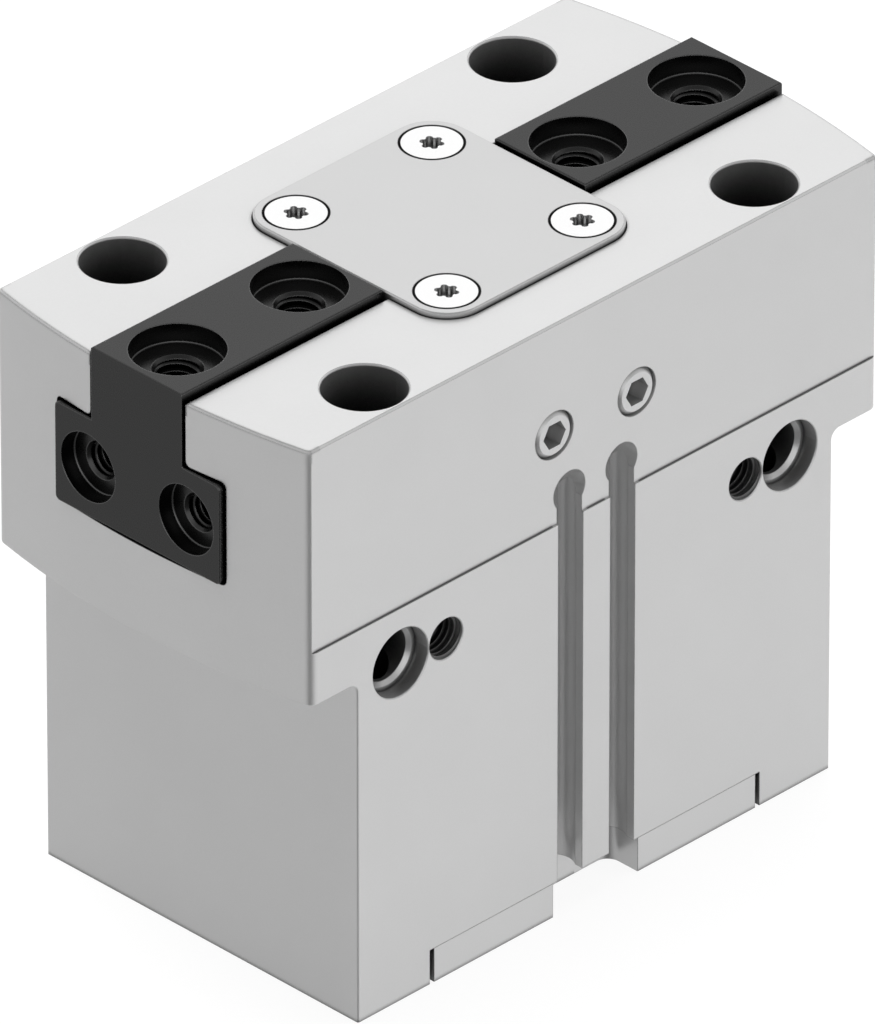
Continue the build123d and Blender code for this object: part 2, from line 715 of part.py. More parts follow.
with BuildPart() as jaw_left:
    add(jaw.part.rotate(Axis.Z, 180))
jaw_left.part.label = "jaw_left"

# One file for each piece
os.makedirs("parts", exist_ok=True)
export_step(housing.part, "parts/housing.step")
export_step(end_cap.part, "parts/end_cap.step")
export_step(end_cap_seal.part, "parts/end_cap_seal.step")
export_step(end_cap_screws.part, "parts/end_cap_screws.step")
export_step(cover_plate.part, "parts/cover_plate.step")
export_step(cover_screws.part, "parts/cover_screws.step")
export_step(port_plugs.part, "parts/port_plugs.step")
export_step(passage_balls.part, "parts/passage_balls.step")
export_step(rod_bushing.part, "parts/rod_bushing.step")
export_step(rod_seal.part, "parts/rod_seal.step")
export_step(seal_washer.part, "parts/seal_washer.step")
export_step(retaining_ring.part, "parts/retaining_ring.step")
export_step(lower_cushion.part, "parts/lower_cushion.step")
export_step(upper_cushion.part, "parts/upper_cushion.step")
export_step(piston.part, "parts/piston.step")
export_step(piston_seals.part, "parts/piston_seals.step")
export_step(piston_guide_band.part, "parts/piston_guide_band.step")
export_step(piston_magnets.part, "parts/piston_magnets.step")
export_step(piston_screw.part, "parts/piston_screw.step")
export_step(wedge_hook.part, "parts/wedge_hook.step")
export_step(jaw_right.part, "parts/jaw_right.step")
export_step(jaw_left.part, "parts/jaw_left.step")
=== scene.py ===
from math import cos, pi, radians, sin, tau

import bmesh
import bpy
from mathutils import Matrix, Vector


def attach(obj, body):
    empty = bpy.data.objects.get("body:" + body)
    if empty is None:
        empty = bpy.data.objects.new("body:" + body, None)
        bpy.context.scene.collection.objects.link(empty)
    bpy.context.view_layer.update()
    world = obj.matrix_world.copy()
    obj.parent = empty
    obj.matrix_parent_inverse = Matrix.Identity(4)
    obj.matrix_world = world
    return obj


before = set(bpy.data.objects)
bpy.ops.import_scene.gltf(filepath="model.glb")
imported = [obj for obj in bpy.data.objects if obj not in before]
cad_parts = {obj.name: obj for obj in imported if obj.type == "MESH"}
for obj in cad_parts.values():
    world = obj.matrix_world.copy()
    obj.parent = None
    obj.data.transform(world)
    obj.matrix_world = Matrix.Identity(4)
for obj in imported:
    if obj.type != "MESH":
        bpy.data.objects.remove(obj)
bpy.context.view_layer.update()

# Housing: one milled aluminium block with a wide head, a narrower cylinder body and a T-slot across its
# top. It is bead blasted and natural anodised, a pale satin grey with a very fine grain, and every edge
# has a small break that shows as a thin line, from its softened normal and from a darker colour painted
# along it, a painted shade; its gaps and holes are darkened with painted shade too. Sizes are in
# millimetres unless they are the studio's.

MM = 0.001


def new_group(name, inputs, outputs):
    """Empty shader node group with the named sockets, its input node and its output node."""
    tree = bpy.data.node_groups.new(name, "ShaderNodeTree")
    for label, kind, value in inputs:
        socket = tree.interface.new_socket(label, in_out="INPUT", socket_type=f"NodeSocket{kind}")
        if value is not None:
            socket.default_value = value
    for label, kind in outputs:
        tree.interface.new_socket(label, in_out="OUTPUT", socket_type=f"NodeSocket{kind}")
    return tree, tree.nodes.new("NodeGroupInput"), tree.nodes.new("NodeGroupOutput")


def add_node(tree, kind, links=None, values=None, **settings):
    """New node with its settings, the sockets that feed it and its plain values."""
    node = tree.nodes.new(f"ShaderNode{kind}")
    for name, value in settings.items():
        setattr(node, name, value)
    for key, value in (values or {}).items():
        node.inputs[key].default_value = value
    for key, source in (links or {}).items():
        tree.links.new(source, node.inputs[key])
    return node


def calc(tree, operation, *terms):
    """Output of a new Math node whose terms are sockets or plain numbers."""
    node = add_node(tree, "Math", operation=operation)
    for place, term in enumerate(terms):
        if isinstance(term, (int, float)):
            node.inputs[place].default_value = term
        else:
            tree.links.new(term, node.inputs[place])
    return node.outputs[0]


def grain_group():
    """Blasted or ground metal skin: fine grain, broad unevenness of tone, and a bump from the grain."""
    tree, given, out = new_group(
        "metal grain",
        [
            ("Light", "Color", (0.6, 0.6, 0.6, 1)),
            ("Dark", "Color", (0.5, 0.5, 0.5, 1)),
            ("Grain Size", "Float", 0.2 * MM),
            ("Cloud Size", "Float", 10 * MM),
            ("Smooth", "Float", 0.35),
            ("Rough", "Float", 0.5),
            ("Relief", "Float", 0.002 * MM),
            ("Normal", "Vector", None),
        ],
        [("Color", "Color"), ("Roughness", "Float"), ("Normal", "Vector")],
    )
    cloud_share = 0.45
    noise_range = {"From Min": 0.3, "From Max": 0.7}
    place = add_node(tree, "TexCoord").outputs["Object"]
    fine = add_node(
        tree,
        "TexNoise",
        {"Vector": place, "Scale": calc(tree, "DIVIDE", 1.0, given.outputs["Grain Size"])},
        {"Detail": 3.0, "Roughness": 0.6},
    )
    cloud = add_node(
        tree,
        "TexNoise",
        {"Vector": place, "Scale": calc(tree, "DIVIDE", 1.0, given.outputs["Cloud Size"])},
        {"Detail": 2.0},
    )
    both = add_node(
        tree,
        "Mix",
        {"A": fine.outputs["Fac"], "B": cloud.outputs["Fac"]},
        {"Factor": cloud_share},
        data_type="FLOAT",
    )
    spread = add_node(tree, "MapRange", {"Value": both.outputs[0]}, noise_range)
    tone = add_node(tree, "Mix", {"Factor": spread.outputs[0]}, data_type="RGBA")
    tree.links.new(given.outputs["Dark"], tone.inputs["A"])
    tree.links.new(given.outputs["Light"], tone.inputs["B"])
    gloss = add_node(
        tree,
        "MapRange",
        {"Value": fine.outputs["Fac"], "To Min": given.outputs["Smooth"], "To Max": given.outputs["Rough"]},
        noise_range,
    )
    bump = add_node(
        tree,
        "Bump",
        {
            "Height": fine.outputs["Fac"],
            "Distance": given.outputs["Relief"],
            "Normal": given.outputs["Normal"],
        },
        {"Strength": 1.0},
    )
    tree.links.new(tone.outputs["Result"], out.inputs["Color"])
    tree.links.new(gloss.outputs[0], out.inputs["Roughness"])
    tree.links.new(bump.outputs[0], out.inputs["Normal"])
    return tree


def edge_group():
    """Broken edges: a softened normal close to every edge, and a mask of where those edges are, which places
    the colour painted along them as painted shade and painted highlight.
    """
    tree, given, out = new_group(
        "broken edges", [("Reach", "Float", 0.2 * MM)], [("Normal", "Vector"), ("Edge", "Float")]
    )
    turned = add_node(tree, "Bevel", {"Radius": given.outputs["Reach"]}, samples=6).outputs["Normal"]
    flat = add_node(tree, "NewGeometry").outputs["Normal"]
    same = add_node(tree, "VectorMath", {0: turned, 1: flat}, operation="DOT_PRODUCT").outputs["Value"]
    edge = add_node(
        tree, "MapRange", {"Value": same}, {"From Min": 1.0, "From Max": 0.86, "To Min": 0.0, "To Max": 1.0}
    )
    tree.links.new(turned, out.inputs["Normal"])
    tree.links.new(edge.outputs[0], out.inputs["Edge"])
    return tree


def hollow_group():
    """Painted shade of hollows: how open the surface lies, from dark in gaps and holes to full on open faces;
    the colour is multiplied by it.
    """
    tree, given, out = new_group(
        "painted hollow shade",
        [
            ("Gap Reach", "Float", 0.8 * MM),
            ("Hole Reach", "Float", 12 * MM),
            ("Gap Shade Level", "Float", 0.1),
            ("Hole Shade Level", "Float", 0.05),
        ],
        [("Open", "Float")],
    )
    gap = add_node(tree, "AmbientOcclusion", {"Distance": given.outputs["Gap Reach"]}, samples=8)
    hole = add_node(
        tree, "AmbientOcclusion", {"Distance": given.outputs["Hole Reach"]}, samples=8, only_local=True
    )
    near = add_node(
        tree,
        "MapRange",
        {"Value": gap.outputs["AO"], "To Min": given.outputs["Gap Shade Level"]},
        {"From Min": 0.35, "From Max": 0.92, "To Max": 1.0},
        interpolation_type="SMOOTHSTEP",
    )
    deep = add_node(
        tree,
        "MapRange",
        {"Value": hole.outputs["AO"], "To Min": given.outputs["Hole Shade Level"]},
        {"From Min": 0.12, "From Max": 0.55, "To Max": 1.0},
        interpolation_type="SMOOTHSTEP",
    )
    tree.links.new(calc(tree, "MULTIPLY", near.outputs[0], deep.outputs[0]), out.inputs["Open"])
    return tree


metal_grain = grain_group()
broken_edges = edge_group()
painted_hollow_shade = hollow_group()


def grey(level):
    """Neutral linear colour of that level."""
    return (level, level, level)


def new_finish(
    name, light, dark, edge, smooth, rough, metallic, size=0.2, relief=0.001, reach=0.1, near=0.1, deep=0.06,
    rim=0.3, wider=None, recess=None,
):
    """Material of one finish, from the shared groups, with its sizes in mm.

    light and dark are the colours of the skin, and edge is the colour painted along its edges, a painted
    shade where it is darker than the skin and a painted highlight where it is lighter. smooth and rough are
    the ends of the roughness, size and relief belong to the grain, and reach is the width of an edge. near
    and deep are the shares of the colour that gaps and holes keep under the painted shade of hollows, and
    rim is the least share that the painted edge colour keeps there. wider is a group that gives the reach
    instead, and recess one that mends the painted shade of certain hollows.
    """
    material = bpy.data.materials.new(name)
    material.use_nodes = True
    tree = material.node_tree
    tree.nodes.clear()
    edges = add_node(tree, "Group", node_tree=broken_edges)
    edges.inputs["Reach"].default_value = reach * MM
    if wider:
        tree.links.new(add_node(tree, "Group", node_tree=wider).outputs["Reach"], edges.inputs["Reach"])
    hollows = add_node(tree, "Group", node_tree=painted_hollow_shade)
    hollows.inputs["Gap Shade Level"].default_value = near
    hollows.inputs["Hole Shade Level"].default_value = deep
    shade = hollows.outputs["Open"]
    if recess:
        shade = add_node(tree, "Group", {"Open": shade}, node_tree=recess).outputs["Open"]
    grain = add_node(tree, "Group", {"Normal": edges.outputs["Normal"]}, node_tree=metal_grain)
    for key, value in {
        "Light": (*light, 1),
        "Dark": (*dark, 1),
        "Grain Size": size * MM,
        "Smooth": smooth,
        "Rough": rough,
        "Relief": relief * MM,
    }.items():
        grain.inputs[key].default_value = value
    # Painted shade: the skin's colour is darkened by how open the surface lies.
    skin = add_node(tree, "VectorMath", {0: grain.outputs["Color"], 3: shade}, operation="SCALE")
    # Painted edge line: the edge colour, a painted shade where darker than the skin, a painted highlight
    # where lighter.
    kept = calc(tree, "MAXIMUM", shade, rim)
    painted_edge_line = add_node(tree, "VectorMath", {3: kept}, {0: edge}, operation="SCALE")
    tone = add_node(
        tree,
        "Mix",
        {"Factor": edges.outputs["Edge"], "A": skin.outputs[0], "B": painted_edge_line.outputs[0]},
        data_type="RGBA",
    )
    shader = add_node(
        tree,
        "BsdfPrincipled",
        {
            "Base Color": tone.outputs["Result"],
            "Roughness": grain.outputs["Roughness"],
            "Normal": grain.outputs["Normal"],
        },
        {"Metallic": metallic},
    )
    add_node(tree, "OutputMaterial", {"Surface": shader.outputs[0]})
    return material


def dress(node, material):
    """The CAD node takes this material all over."""
    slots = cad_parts[node].data.materials
    slots.clear()
    slots.append(material)


SLOT_X, SLOT_REACH, SLOT_BACK, SLOT_TOP = 3.35, 2.2, -15.8, 48.0
PLUG_X, PLUG_Z, PLUG_REACH, PLUG_OPEN = 5.3, 51.6, 2.55, 0.9
HOLE_X, HOLE_Y, HOLE_RADIUS, HOLE_FLOOR, HOLE_OPEN = 25.0, 15.5, 4.06, 45.0, 0.7
BASE_REACH = 0.02


def recess_shade_group():
    """Painted shade of certain hollows, mended by place.

    The sensor slots are spared the painted shade of hollows, the gaps round the two plugs keep most of
    their colour, the four deep mounting holes are painted darker still, near black, and the face that stands
    on the floor counts as open, so the floor paints no shade on it.
    """
    tree, given, out = new_group("housing recess shade", [("Open", "Float", 1.0)], [("Open", "Float")])
    place = add_node(tree, "SeparateXYZ", {0: add_node(tree, "TexCoord").outputs["Object"]})
    x, y, z = (place.outputs[axis] for axis in "XYZ")
    aside = calc(tree, "ABSOLUTE", x)
    front = calc(tree, "LESS_THAN", y, SLOT_BACK * MM)

    across = calc(tree, "COMPARE", aside, SLOT_X * MM, SLOT_REACH * MM)
    slot = calc(tree, "MULTIPLY", across, front)
    slot = calc(tree, "MULTIPLY", slot, calc(tree, "LESS_THAN", z, SLOT_TOP * MM))

    plug = calc(tree, "COMPARE", aside, PLUG_X * MM, PLUG_REACH * MM)
    plug = calc(tree, "MULTIPLY", plug, calc(tree, "COMPARE", z, PLUG_Z * MM, PLUG_REACH * MM))
    plug = calc(tree, "MULTIPLY", calc(tree, "MULTIPLY", plug, front), PLUG_OPEN)

    spot = add_node(tree, "CombineXYZ", {0: aside, 1: calc(tree, "ABSOLUTE", y)}).outputs[0]
    off = add_node(tree, "VectorMath", {0: spot}, {1: (HOLE_X * MM, HOLE_Y * MM, 0)}, operation="DISTANCE")
    hole = calc(tree, "LESS_THAN", off.outputs["Value"], HOLE_RADIUS * MM)
    hole = calc(tree, "MULTIPLY", hole, calc(tree, "GREATER_THAN", z, HOLE_FLOOR * MM))
    # Painted shade: the deep mounting holes are painted darker.
    painted_hole_shade = calc(tree, "MULTIPLY_ADD", hole, HOLE_OPEN - 1.0, 1.0)

    opened = calc(tree, "MAXIMUM", given.outputs["Open"], slot)
    opened = calc(tree, "MULTIPLY", calc(tree, "MAXIMUM", opened, plug), painted_hole_shade)
    opened = calc(tree, "MAXIMUM", opened, calc(tree, "LESS_THAN", z, BASE_REACH * MM))
    tree.links.new(opened, out.inputs["Open"])
    return tree


EDGE_REACH, END_EDGE_REACH, END_EDGE_X, END_EDGE_Z = 0.14, 0.5, 35.0, 62.0


def end_edge_group():
    """Reach of the broken edges and of their painted shade line, wider where the head's curved ends meet its
    top.
    """
    tree, _, out = new_group("end edge reach", [], [("Reach", "Float")])
    place = add_node(tree, "SeparateXYZ", {0: add_node(tree, "TexCoord").outputs["Object"]})
    outer = calc(tree, "GREATER_THAN", calc(tree, "ABSOLUTE", place.outputs["X"]), END_EDGE_X * MM)
    upper = calc(tree, "GREATER_THAN", place.outputs["Z"], END_EDGE_Z * MM)
    reach = add_node(
        tree,
        "MapRange",
        {"Value": calc(tree, "MULTIPLY", outer, upper)},
        {"To Min": EDGE_REACH * MM, "To Max": END_EDGE_REACH * MM},
    )
    tree.links.new(reach.outputs[0], out.inputs["Reach"])
    return tree


housing_recess_shade = recess_shade_group()
# Painted shade: a darker colour along the edges, wider at the head's curved ends, and darkening in gaps and
# holes.
anodised = new_finish(
    "anodised aluminium", light=grey(0.71), dark=grey(0.68), edge=grey(0.26), smooth=0.28, rough=0.31,
    metallic=0.75, relief=0.0002, reach=EDGE_REACH, wider=end_edge_group(), recess=housing_recess_shade,
)
dress("housing", anodised)

# Threads: M5 tapped from below into the four mounting holes, and the threads of the two air ports on the
# front. The CAD holes have the core size, so each thread is a fine ridge wound along the wall.


def wind_thread(mesh, mouth, inward, core_radius, length, pitch):
    """Adds a ridge wound along a hole's wall: from its mouth inwards, with tapering ends."""
    turn_steps, bite = 40, 0.02
    crest_height, crest_half, foot_half = 0.3 * pitch, 0.06 * pitch, 0.22 * pitch
    taper_steps = turn_steps / 3
    inward = Vector(inward).normalized()
    side = inward.orthogonal().normalized()
    up = inward.cross(side)
    steps = int(turn_steps * length / pitch)
    last = None
    for step in range(steps + 1):
        turn = tau * step / turn_steps
        out = cos(turn) * side + sin(turn) * up
        fade = min(1.0, step / taper_steps, (steps - step) / taper_steps)
        along = pitch * step / turn_steps
        crest = core_radius - crest_height * fade
        profile = [
            (core_radius + bite, along - foot_half),
            (crest, along - crest_half),
            (crest, along + crest_half),
            (core_radius + bite, along + foot_half),
        ]
        rim = [mesh.verts.new((Vector(mouth) + r * out + t * inward) * MM) for r, t in profile]
        if last:
            for k in range(4):
                following = (k + 1) % 4
                mesh.faces.new((last[k], last[following], rim[following], rim[k]))
        else:
            mesh.faces.new(rim)
        last = rim
    mesh.faces.new(reversed(last))


def as_piece(mesh, name, material, body):
    """Finishes a mesh as a smooth object with its material, riding on a body."""
    bmesh.ops.recalc_face_normals(mesh, faces=mesh.faces)
    data = bpy.data.meshes.new(name)
    mesh.to_mesh(data)
    mesh.free()
    for face in data.polygons:
        face.use_smooth = True
    data.set_sharp_from_angle(angle=radians(SHARP_ANGLE))
    data.materials.append(material)
    piece = bpy.data.objects.new(name, data)
    bpy.context.scene.collection.objects.link(piece)
    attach(piece, body)


def thread_holes(name, holes, material, body):
    """One piece with the threads of like holes."""
    mesh = bmesh.new()
    for hole in holes:
        wind_thread(mesh, *hole)
    as_piece(mesh, name, material, body)


SHARP_ANGLE = 35
# Painted shade and highlight: the threads are coloured dark grey, far darker than the aluminium they are cut
# in, for the shade in their holes, with a painted highlight along their crests.
thread_shaded = new_finish(
    "thread, painted shade", light=grey(0.16), dark=grey(0.14), edge=grey(0.5), smooth=0.28, rough=0.31, metallic=0.75,
    relief=0.0002, reach=0.05, rim=1.0,
)
FRONT = -20.2
PORT_X, PORT_Z, PORT_CORE, PORT_START, PORT_LENGTH, PORT_PITCH = 19.3, 36.2, 2.1, 0.2, 5.6, 0.66
port_holes = [
    ((x, FRONT + PORT_START, PORT_Z), (0, 1, 0), PORT_CORE, PORT_LENGTH, PORT_PITCH)
    for x in (-PORT_X, PORT_X)
]
thread_holes("port_threads", port_holes, thread_shaded, "housing_body")

M5_PITCH = 0.8
BASE_CORE, BASE_START, BASE_LENGTH = 2.15, 0.5, 10.0
base_holes = [
    ((x, y, BASE_START), (0, 0, 1), BASE_CORE, BASE_LENGTH, M5_PITCH)
    for x in (-HOLE_X, HOLE_X)
    for y in (-HOLE_Y, HOLE_Y)
]
thread_holes("base_threads", base_holes, thread_shaded, "housing_body")

# End cap: a plate of the same anodised aluminium let into a channel under the body, with an oval spigot
# and a rubber ring that close the cylinder, held by four countersunk screws of bright steel from below.

# Painted shade: a darker colour along the edges and darkening in gaps and holes, as on the housing.
anodised_cap = new_finish(
    "anodised cap", light=grey(0.72), dark=grey(0.69), edge=grey(0.26), smooth=0.28, rough=0.31,
    metallic=0.75, relief=0.0002, reach=EDGE_REACH, recess=housing_recess_shade,
)
dress("end_cap", anodised_cap)
# Painted shade: a darker colour along the edges and some darkening in the sockets and gaps.
bright_screw = new_finish(
    "bright screw steel", light=grey(0.95), dark=grey(0.92), edge=grey(0.7), smooth=0.18, rough=0.2,
    metallic=0.9, size=0.3, relief=0.0001, reach=0.06, near=0.4, deep=0.6,
)
dress("end_cap_screws", bright_screw)

# Cover plate: a sheet of ground stainless steel let into the top, with rounded corners, a bevelled edge and
# four countersunk screws with six-lobed sockets.

# Painted shade: a darker colour along the edges and darkening in gaps and the screw seats.
ground_cover = new_finish(
    "ground cover steel", light=grey(0.605), dark=grey(0.59), edge=grey(0.26), smooth=0.28, rough=0.29,
    metallic=0.75, relief=0.00003, reach=0.12,
)
dress("cover_plate", ground_cover)
dress("cover_screws", bright_screw)

# Plugs and balls: small steel parts that close the drilled air passages. The plugs are screwed in flush and
# have a hexagon socket, and the balls are pressed in.

# Painted highlight: a lighter colour along the edges; painted shade: some darkening in the sockets.
plug_steel = new_finish(
    "plug steel", light=grey(0.74), dark=grey(0.7), edge=grey(0.8), smooth=0.36, rough=0.42, metallic=0.8,
    size=0.25, relief=0.0001, reach=0.06, near=0.5, deep=0.7,
)
dress("port_plugs", plug_steel)
dress("passage_balls", plug_steel)

# Base jaws: T-shaped slides of hardened steel with a black oxide skin, ground smooth, with a thin lighter
# line painted along their broken edges, a painted highlight, and centring bores over threaded holes, two on
# top, two in the end.

# Painted highlight: a lighter colour along the edges, rim 1.0 keeps it in the holes; painted shade: darkening
# in gaps.
black_steel = new_finish(
    "black jaw steel", light=grey(0.066), dark=grey(0.063), edge=grey(0.2), smooth=0.26, rough=0.29,
    metallic=1.0, size=0.25, relief=0.00005, reach=0.15, near=0.4, deep=1.0, rim=1.0,
)
JAW_TOP, JAW_END = 64.15, 38.5
TOP_HOLE_XS, TOP_CORE, TOP_START, TOP_LENGTH = (17.85, 33.25), 2.1, 2.3, 8.4
END_HOLE_Y, END_HOLE_Z, END_CORE, END_START, END_LENGTH, M4_PITCH = 6.3, 51.2, 1.65, 2.0, 7.4, 0.7
for jaw_side, jaw_name in ((-1, "left"), (1, "right")):
    dress(f"jaw_{jaw_name}", black_steel)
    tapped = [
        ((jaw_side * x, 0, JAW_TOP - TOP_START), (0, 0, -1), TOP_CORE, TOP_LENGTH, M5_PITCH)
        for x in TOP_HOLE_XS
    ]
    tapped += [
        ((jaw_side * (JAW_END - END_START), y, END_HOLE_Z), (-jaw_side, 0, 0), END_CORE, END_LENGTH, M4_PITCH)
        for y in (-END_HOLE_Y, END_HOLE_Y)
    ]
    thread_holes(f"jaw_{jaw_name}_threads", tapped, black_steel, f"jaw_{jaw_name}_body")

# Bore rings: the tool's corner radius leaves a small hollow fillet between the wall and the floor of each
# centring bore, and it shows as a thin light ring, with its colour painted lighter than the jaw's, a painted
# highlight. It is turned in the same black steel as the jaw.


def turn_fillet(mesh, mouth, inward, radius, depth, fillet):
    """Adds a hollow fillet ring at the foot of a bore's wall."""
    arc_steps, ring_steps, bite = 6, 96, 0.02
    inward = Vector(inward).normalized()
    side = inward.orthogonal().normalized()
    up = inward.cross(side)
    profile = [(radius + bite, depth + bite), (radius + bite, depth - fillet)]
    for k in range(arc_steps + 1):
        lean = pi / 2 * k / arc_steps
        profile.append((radius - fillet + fillet * cos(lean), depth - fillet + fillet * sin(lean)))
    profile.append((radius - fillet, depth + bite))
    rims = []
    for step in range(ring_steps):
        turn = tau * step / ring_steps
        out = cos(turn) * side + sin(turn) * up
        rims.append([mesh.verts.new((Vector(mouth) + r * out + t * inward) * MM) for r, t in profile])
    for step, rim in enumerate(rims):
        following = rims[(step + 1) % ring_steps]
        for k in range(len(profile)):
            after = (k + 1) % len(profile)
            mesh.faces.new((rim[k], rim[after], following[after], following[k]))


# Painted highlight: the ring's colour is twice the jaw steel's, and it takes no painted shade of hollows.
ring_highlight_steel = new_finish(
    "bore ring steel, painted highlight", light=grey(0.13), dark=grey(0.12), edge=grey(0.13), smooth=0.26, rough=0.29,
    metallic=1.0, relief=0.0001, reach=0.03, near=1.0, deep=1.0,
)
TOP_BORE_RADIUS, TOP_BORE_DEPTH, END_BORE_RADIUS, END_BORE_DEPTH, BORE_FILLET = 4.5, 2.0, 3.5, 1.7, 0.16
for jaw_side, jaw_name in ((-1, "left"), (1, "right")):
    ring_mesh = bmesh.new()
    for x in TOP_HOLE_XS:
        mouth = (jaw_side * x, 0, JAW_TOP)
        turn_fillet(ring_mesh, mouth, (0, 0, -1), TOP_BORE_RADIUS, TOP_BORE_DEPTH, BORE_FILLET)
    for y in (-END_HOLE_Y, END_HOLE_Y):
        mouth = (jaw_side * JAW_END, y, END_HOLE_Z)
        turn_fillet(ring_mesh, mouth, (-jaw_side, 0, 0), END_BORE_RADIUS, END_BORE_DEPTH, BORE_FILLET)
    as_piece(ring_mesh, f"jaw_{jaw_name}_bore_rings", ring_highlight_steel, f"jaw_{jaw_name}_body")

# Wedge hook, piston, rod bushing and their small metal parts: inside the block and out of sight. The hook is
# hardened steel, the piston turned aluminium, the bushing bronze and the two magnets nickel plated.

# Painted highlight and shade: like every finish here, these take a lighter colour along their edges and
# darkening in gaps and holes.
hook_steel = new_finish(
    "hook steel", light=grey(0.2), dark=grey(0.16), edge=grey(0.4), smooth=0.25, rough=0.35, metallic=0.8
)
dress("wedge_hook", hook_steel)
turned_piston = new_finish(
    "turned piston aluminium", light=grey(0.6), dark=grey(0.55), edge=grey(0.7), smooth=0.3, rough=0.4,
    metallic=0.7,
)
dress("piston", turned_piston)
spring_steel = new_finish(
    "spring steel", light=grey(0.12), dark=grey(0.09), edge=grey(0.3), smooth=0.3, rough=0.4, metallic=0.7
)
dress("retaining_ring", spring_steel)
dress("piston_screw", spring_steel)
dress("seal_washer", plug_steel)
bushing_bronze = new_finish(
    "bushing bronze", light=(0.42, 0.25, 0.1), dark=(0.36, 0.2, 0.08), edge=(0.6, 0.38, 0.16), smooth=0.3,
    rough=0.42, metallic=0.8,
)
dress("rod_bushing", bushing_bronze)
magnet_plating = new_finish(
    "magnet plating", light=grey(0.5), dark=grey(0.44), edge=grey(0.6), smooth=0.25, rough=0.35, metallic=0.8
)
dress("piston_magnets", magnet_plating)

# Guide band, seals and cushions: a brown plastic band round the piston, black rubber rings, and two pads of
# red-brown rubber that stop the piston at its ends. All are hidden too.

# Painted highlight and shade: these also take a lighter colour along their edges and darkening in gaps and
# holes.
band_plastic = new_finish(
    "guide band plastic", light=(0.05, 0.035, 0.025), dark=(0.04, 0.028, 0.02), edge=(0.07, 0.05, 0.035),
    smooth=0.5, rough=0.6, metallic=0.0,
)
dress("piston_guide_band", band_plastic)
seal_rubber = new_finish(
    "seal rubber", light=grey(0.02), dark=grey(0.014), edge=grey(0.03), smooth=0.55, rough=0.7, metallic=0.0
)
for seal in ("end_cap_seal", "rod_seal", "piston_seals"):
    dress(seal, seal_rubber)
cushion_rubber = new_finish(
    "cushion rubber", light=(0.2, 0.07, 0.03), dark=(0.16, 0.055, 0.025), edge=(0.24, 0.09, 0.04),
    smooth=0.55, rough=0.7, metallic=0.0,
)
for cushion in ("lower_cushion", "upper_cushion"):
    dress(cushion, cushion_rubber)

# Studio floor: a pale floor that is white to the eye but keeps the object's shadow. It lies just clear of
# the base and is open from below, so that the underside can be looked at too.

FLOOR_RADIUS, FLOOR_SIDES, FLOOR_DROP = 4.0, 96, 0.05
WHITE_SHARE, WHITE_STRENGTH, MATTE_TONE = 0.85, 1.06, 0.8
floor_mesh = bmesh.new()
bmesh.ops.create_circle(floor_mesh, cap_ends=True, radius=FLOOR_RADIUS, segments=FLOOR_SIDES)
floor_data = bpy.data.meshes.new("studio_floor")
floor_mesh.to_mesh(floor_data)
floor_mesh.free()
studio_floor = bpy.data.objects.new("studio_floor", floor_data)
bpy.context.scene.collection.objects.link(studio_floor)
studio_floor.location.z = -FLOOR_DROP * MM
studio_floor.visible_glossy = False

pale = bpy.data.materials.new("pale floor")
pale.use_nodes = True
floor_tree = pale.node_tree
floor_tree.nodes.clear()


def seen_rays(tree):
    """Mask of the rays that see the studio as the eye does, straight or through something clear."""
    path = add_node(tree, "LightPath")
    return calc(tree, "MAXIMUM", path.outputs["Is Camera Ray"], path.outputs["Is Transmission Ray"])


white_part = calc(floor_tree, "MULTIPLY", seen_rays(floor_tree), WHITE_SHARE)
matte = add_node(floor_tree, "BsdfDiffuse", values={"Color": (*grey(MATTE_TONE), 1)})
white = add_node(floor_tree, "Emission", values={"Color": (*grey(1), 1), "Strength": WHITE_STRENGTH})
clear = add_node(floor_tree, "BsdfTransparent")
floor_mix = add_node(floor_tree, "MixShader", {0: white_part, 1: matte.outputs[0], 2: white.outputs[0]})
from_below = add_node(floor_tree, "NewGeometry").outputs["Backfacing"]
open_below = add_node(floor_tree, "MixShader", {0: from_below, 1: floor_mix.outputs[0], 2: clear.outputs[0]})
add_node(floor_tree, "OutputMaterial", {"Surface": open_below.outputs[0]})
floor_data.materials.append(pale)

# Surround: white to the eye. Reflections see a pale sky that is less bright to the sides and dim overhead,
# and below it a floor tone with one dark heading, so that the near upright corner shows a soft dark line.

SKY_TONE, SKY_SIDE, ZENITH_TONE, LOW_TONE, LOW_SWING, CORNER_DIP = 1.02, 0.6, 0.25, 0.685, 0.13, 0.85
ROOM_TONE, DIAGONAL = 0.4, 0.7071
surround = bpy.data.worlds.new("studio surround")
bpy.context.scene.world = surround
surround.use_nodes = True
sky = surround.node_tree
sky.nodes.clear()
heading = add_node(sky, "TexCoord").outputs["Generated"]
height = add_node(sky, "SeparateXYZ", {0: heading}).outputs["Z"]
level = add_node(sky, "VectorMath", {0: heading}, {1: (1, 1, 0)}, operation="MULTIPLY")
level = add_node(sky, "VectorMath", {0: level.outputs[0]}, operation="NORMALIZE").outputs[0]
to_front = add_node(sky, "VectorMath", {0: level}, {1: (DIAGONAL, -DIAGONAL, 0)}, operation="DOT_PRODUCT")
to_back = add_node(sky, "VectorMath", {0: level}, {1: (DIAGONAL, DIAGONAL, 0)}, operation="DOT_PRODUCT")
to_front, to_back = to_front.outputs["Value"], to_back.outputs["Value"]

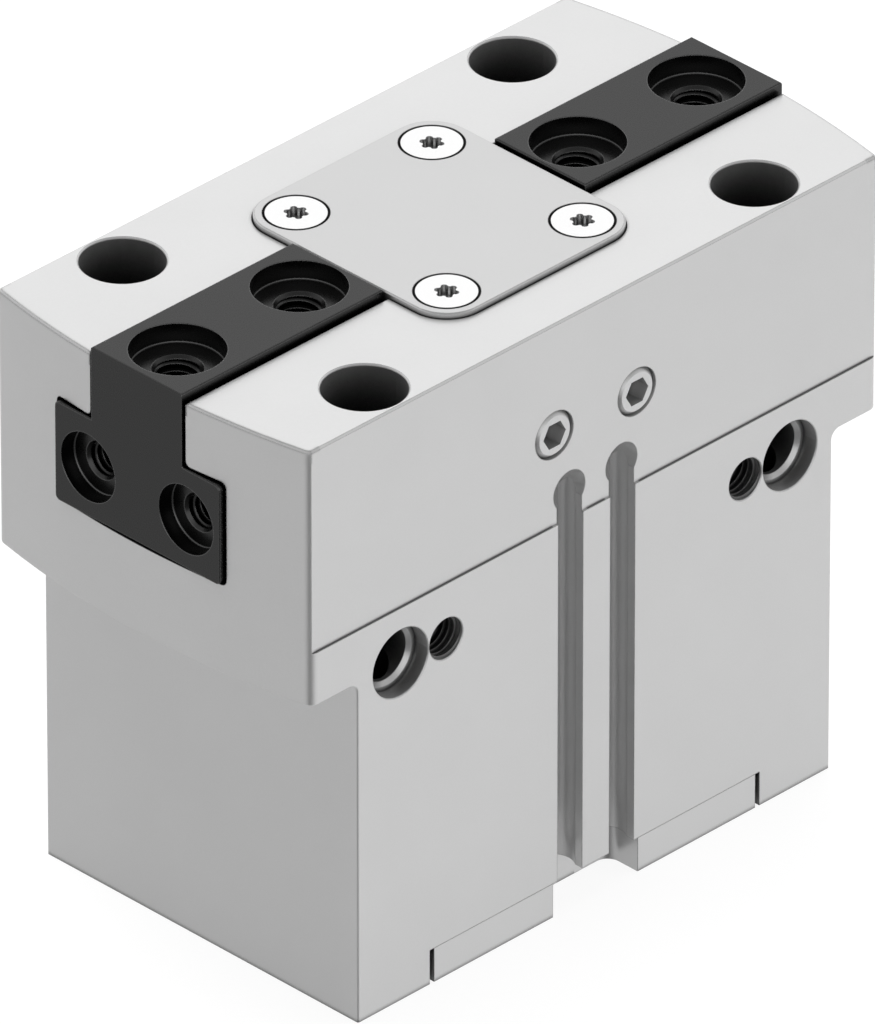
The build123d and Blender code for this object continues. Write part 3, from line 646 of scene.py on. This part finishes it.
ahead_or_behind = calc(sky, "POWER", to_back, 2.0)
high = calc(sky, "MULTIPLY_ADD", ahead_or_behind, SKY_TONE * (1 - SKY_SIDE), SKY_TONE * SKY_SIDE)
upper = add_node(
    sky,
    "MapRange",
    {"Value": height, "To Min": high},
    {"From Min": 0.64, "From Max": 0.78, "To Max": ZENITH_TONE},
    interpolation_type="SMOOTHSTEP",
)
low = calc(sky, "MULTIPLY_ADD", to_front, LOW_SWING, LOW_TONE)
to_corner = calc(sky, "POWER", calc(sky, "MAXIMUM", calc(sky, "MULTIPLY", to_back, -1.0), 0.0), 4.0)
low = calc(sky, "MULTIPLY", low, calc(sky, "MULTIPLY_ADD", to_corner, -CORNER_DIP, 1.0))
risen = add_node(
    sky, "MapRange", {"Value": height}, {"From Min": -0.2, "From Max": 0.1}, interpolation_type="SMOOTHSTEP"
)
mirrored = add_node(
    sky, "Mix", {"Factor": risen.outputs[0], "A": low, "B": upper.outputs[0]}, data_type="FLOAT"
)

glossy = add_node(sky, "LightPath").outputs["Is Glossy Ray"]
room = add_node(
    sky, "Mix", {"Factor": glossy, "B": mirrored.outputs[0]}, {"A": ROOM_TONE}, data_type="FLOAT"
)
strength = add_node(
    sky, "Mix", {"Factor": seen_rays(sky), "A": room.outputs[0]}, {"B": 1.0}, data_type="FLOAT"
)
backdrop = add_node(sky, "Background", {"Strength": strength.outputs[0]}, {"Color": (*grey(1), 1)})
add_node(sky, "OutputWorld", {"Surface": backdrop.outputs[0]})

# Lamps: two large soft boxes, the main one above and behind, a weaker one to the right of the front. They
# light the metal without showing in it.

LAMP_TARGET = (0, 0, 0.03)


def hang_lamp(name, place, size, power):
    """Soft box that faces the middle of the object."""
    data = bpy.data.lights.new(name, "AREA")
    data.shape = "RECTANGLE"
    data.size, data.size_y = size
    data.energy = power
    lamp = bpy.data.objects.new(name, data)
    lamp.location = place
    lamp.rotation_euler = (Vector(LAMP_TARGET) - Vector(place)).to_track_quat("-Z", "Y").to_euler()
    lamp.visible_glossy = False
    bpy.context.scene.collection.objects.link(lamp)


hang_lamp("top lamp", place=(0.1, 0.35, 1.0), size=(1.0, 1.0), power=17.0)
hang_lamp("front lamp", place=(0.75, -0.9, 0.55), size=(0.9, 0.7), power=4.5)

# Camera: at the photograph's angle, far off with a long lens. The focal length is in pixels of the
# picture, the lengths are in metres, and the camera aims at a point close to the object's middle.

AZIMUTH, ELEVATION, DISTANCE = radians(-44.993), radians(31.893), 2.450594
FOCAL_PIXELS, LONG_SIDE, SENSOR = 26849.09, 1024, 36.0
AIM_RIGHT, AIM_HEIGHT, NEAR_CLIP, FAR_CLIP = -0.000156, 0.03229, 0.05, 20
camera_data = bpy.data.cameras.new("camera")
camera_data.sensor_width = SENSOR
camera_data.sensor_fit = "AUTO"
camera_data.lens = FOCAL_PIXELS * SENSOR / LONG_SIDE
camera_data.clip_start, camera_data.clip_end = NEAR_CLIP, FAR_CLIP
camera = bpy.data.objects.new("camera", camera_data)
bpy.context.scene.collection.objects.link(camera)
right = Vector((cos(AZIMUTH), sin(AZIMUTH), 0))
back = Vector((sin(AZIMUTH) * cos(ELEVATION), -cos(AZIMUTH) * cos(ELEVATION), sin(ELEVATION)))
camera.location = right * AIM_RIGHT + Vector((0, 0, AIM_HEIGHT)) + back * DISTANCE
camera.rotation_euler = back.to_track_quat("Z", "Y").to_euler()
bpy.context.scene.camera = camera
bpy.context.scene.view_settings.view_transform = "Standard"
